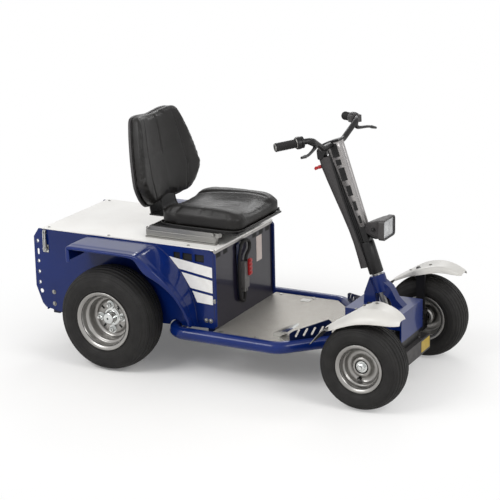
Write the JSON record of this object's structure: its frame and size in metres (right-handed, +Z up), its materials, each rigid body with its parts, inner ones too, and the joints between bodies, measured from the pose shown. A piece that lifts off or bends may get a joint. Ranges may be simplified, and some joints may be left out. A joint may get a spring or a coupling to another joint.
{
  "type": "electric tow tractor",
  "caption": "Small ride-on battery tractor with an open step-through floor, seat on a hinged lid, bar steering, mudguards and a rear tow jaw.",
  "frame": {"origin": "on the ground, on the centre plane, halfway between the tow jaw's tip and the front tyres' front", "axes": "+X forward, +Y to the driver's left, +Z up"},
  "size_m": [1.7189, 0.81, 0.9784],
  "materials": {
    "blue_paint": "gloss",
    "dark_blue_paint": "satin",
    "grey_paint": "gloss",
    "white_paint": "satin",
    "white_plastic": "satin",
    "black_paint": "satin",
    "dark_grey_plastic": "textured",
    "grey_plastic": "matt",
    "tyre_rubber": "matt",
    "silver_paint": "satin metallic",
    "chequer_aluminium": "bright, raised pattern",
    "bright_steel": "zinc plated",
    "chrome": "polished",
    "black_vinyl": "grained, sewn seams",
    "black_rubber": "matt"
  },
  "bodies": {
    "chassis": {"side_panel_right": "blue_paint", "side_panel_left": "blue_paint", "mudguard_right": "blue_paint", "mudguard_left": "blue_paint", "frame_tube_right": "blue_paint", "frame_tube_left": "blue_paint", "head_frame": "blue_paint", "slotted_guards": "dark_blue_paint", "belly_frame": "dark_blue_paint", "axle_beam": "black_paint", "front_panel": "grey_paint", "box_tray": "blue_paint", "battery_pack": "grey_plastic", "drive_axle": "black_paint", "tow_jaw": "black_paint", "front_skirt": "dark_grey_plastic", "floor_plate": "chequer_aluminium", "foot_pedal": "chrome", "battery_connector": "grey_plastic", "power_cable": "black_rubber", "lid_latches": "chrome"},
    "lid": {"deck_lid": "white_paint", "seat_rails": "bright_steel", "seat_frame": "black_paint", "seat_cushion": "black_vinyl", "back_shell": "dark_grey_plastic", "back_cushion": "black_vinyl"},
    "steering": {"steering_shaft": "bright_steel", "steering_column": "dark_grey_plastic", "work_lamp": "grey_plastic", "handlebar": "black_paint", "bar_controls": "black_rubber"},
    "tie_rod": {"tie_rod": "bright_steel"},
    "knuckle_right": {"knuckle_right": "black_paint", "front_fender_right": "white_plastic"},
    "front_wheel_right": {"front_tyre_right": "tyre_rubber", "front_rim_right": "silver_paint"},
    "rear_wheel_right": {"rear_tyre_right": "tyre_rubber", "rear_rim_right": "silver_paint"},
    "knuckle_left": {"knuckle_left": "black_paint", "front_fender_left": "white_plastic"},
    "front_wheel_left": {"front_tyre_left": "tyre_rubber", "front_rim_left": "silver_paint"},
    "rear_wheel_left": {"rear_tyre_left": "tyre_rubber", "rear_rim_left": "silver_paint"}
  },
  "joints": [
    {"name": "lid_hinge", "type": "hinge", "parent": "chassis", "child": "lid", "pos_m": [0.044, 0, 0.505], "axis": [0, 1, 0], "range_deg": [0, 50]},
    {"name": "steering_turn", "type": "hinge", "parent": "chassis", "child": "steering", "pos_m": [0.6055, 0, 0.43], "axis": [-0.3256, 0, 0.9455], "range_deg": [-30, 30]},
    {"name": "knuckle_right_turn", "type": "hinge", "parent": "chassis", "child": "knuckle_right", "pos_m": [0.6945, -0.235, 0.165], "axis": [0, 0, 1], "range_deg": [-30, 30]},
    {"name": "knuckle_left_turn", "type": "hinge", "parent": "chassis", "child": "knuckle_left", "pos_m": [0.6945, 0.235, 0.165], "axis": [0, 0, 1], "range_deg": [-30, 30]},
    {"name": "tie_rod_turn", "type": "hinge", "parent": "knuckle_left", "child": "tie_rod", "pos_m": [0.6345, 0.235, 0.192], "axis": [0, 0, 1], "range_deg": [-30, 30]},
    {"name": "front_wheel_right_spin", "type": "hinge", "parent": "knuckle_right", "child": "front_wheel_right", "pos_m": [0.6945, -0.3105, 0.165], "axis": [0, 1, 0], "continuous": true},
    {"name": "rear_wheel_right_spin", "type": "hinge", "parent": "chassis", "child": "rear_wheel_right", "pos_m": [-0.3795, -0.326, 0.207], "axis": [0, 1, 0], "continuous": true},
    {"name": "front_wheel_left_spin", "type": "hinge", "parent": "knuckle_left", "child": "front_wheel_left", "pos_m": [0.6945, 0.3105, 0.165], "axis": [0, 1, 0], "continuous": true},
    {"name": "rear_wheel_left_spin", "type": "hinge", "parent": "chassis", "child": "rear_wheel_left", "pos_m": [-0.3795, 0.326, 0.207], "axis": [0, 1, 0], "continuous": true}
  ],
  "couplings": [
    {"joint": "knuckle_right_turn", "follows": "steering_turn", "ratio": 1},
    {"joint": "knuckle_left_turn", "follows": "steering_turn", "ratio": 1},
    {"joint": "tie_rod_turn", "follows": "steering_turn", "ratio": -1}
  ]
}
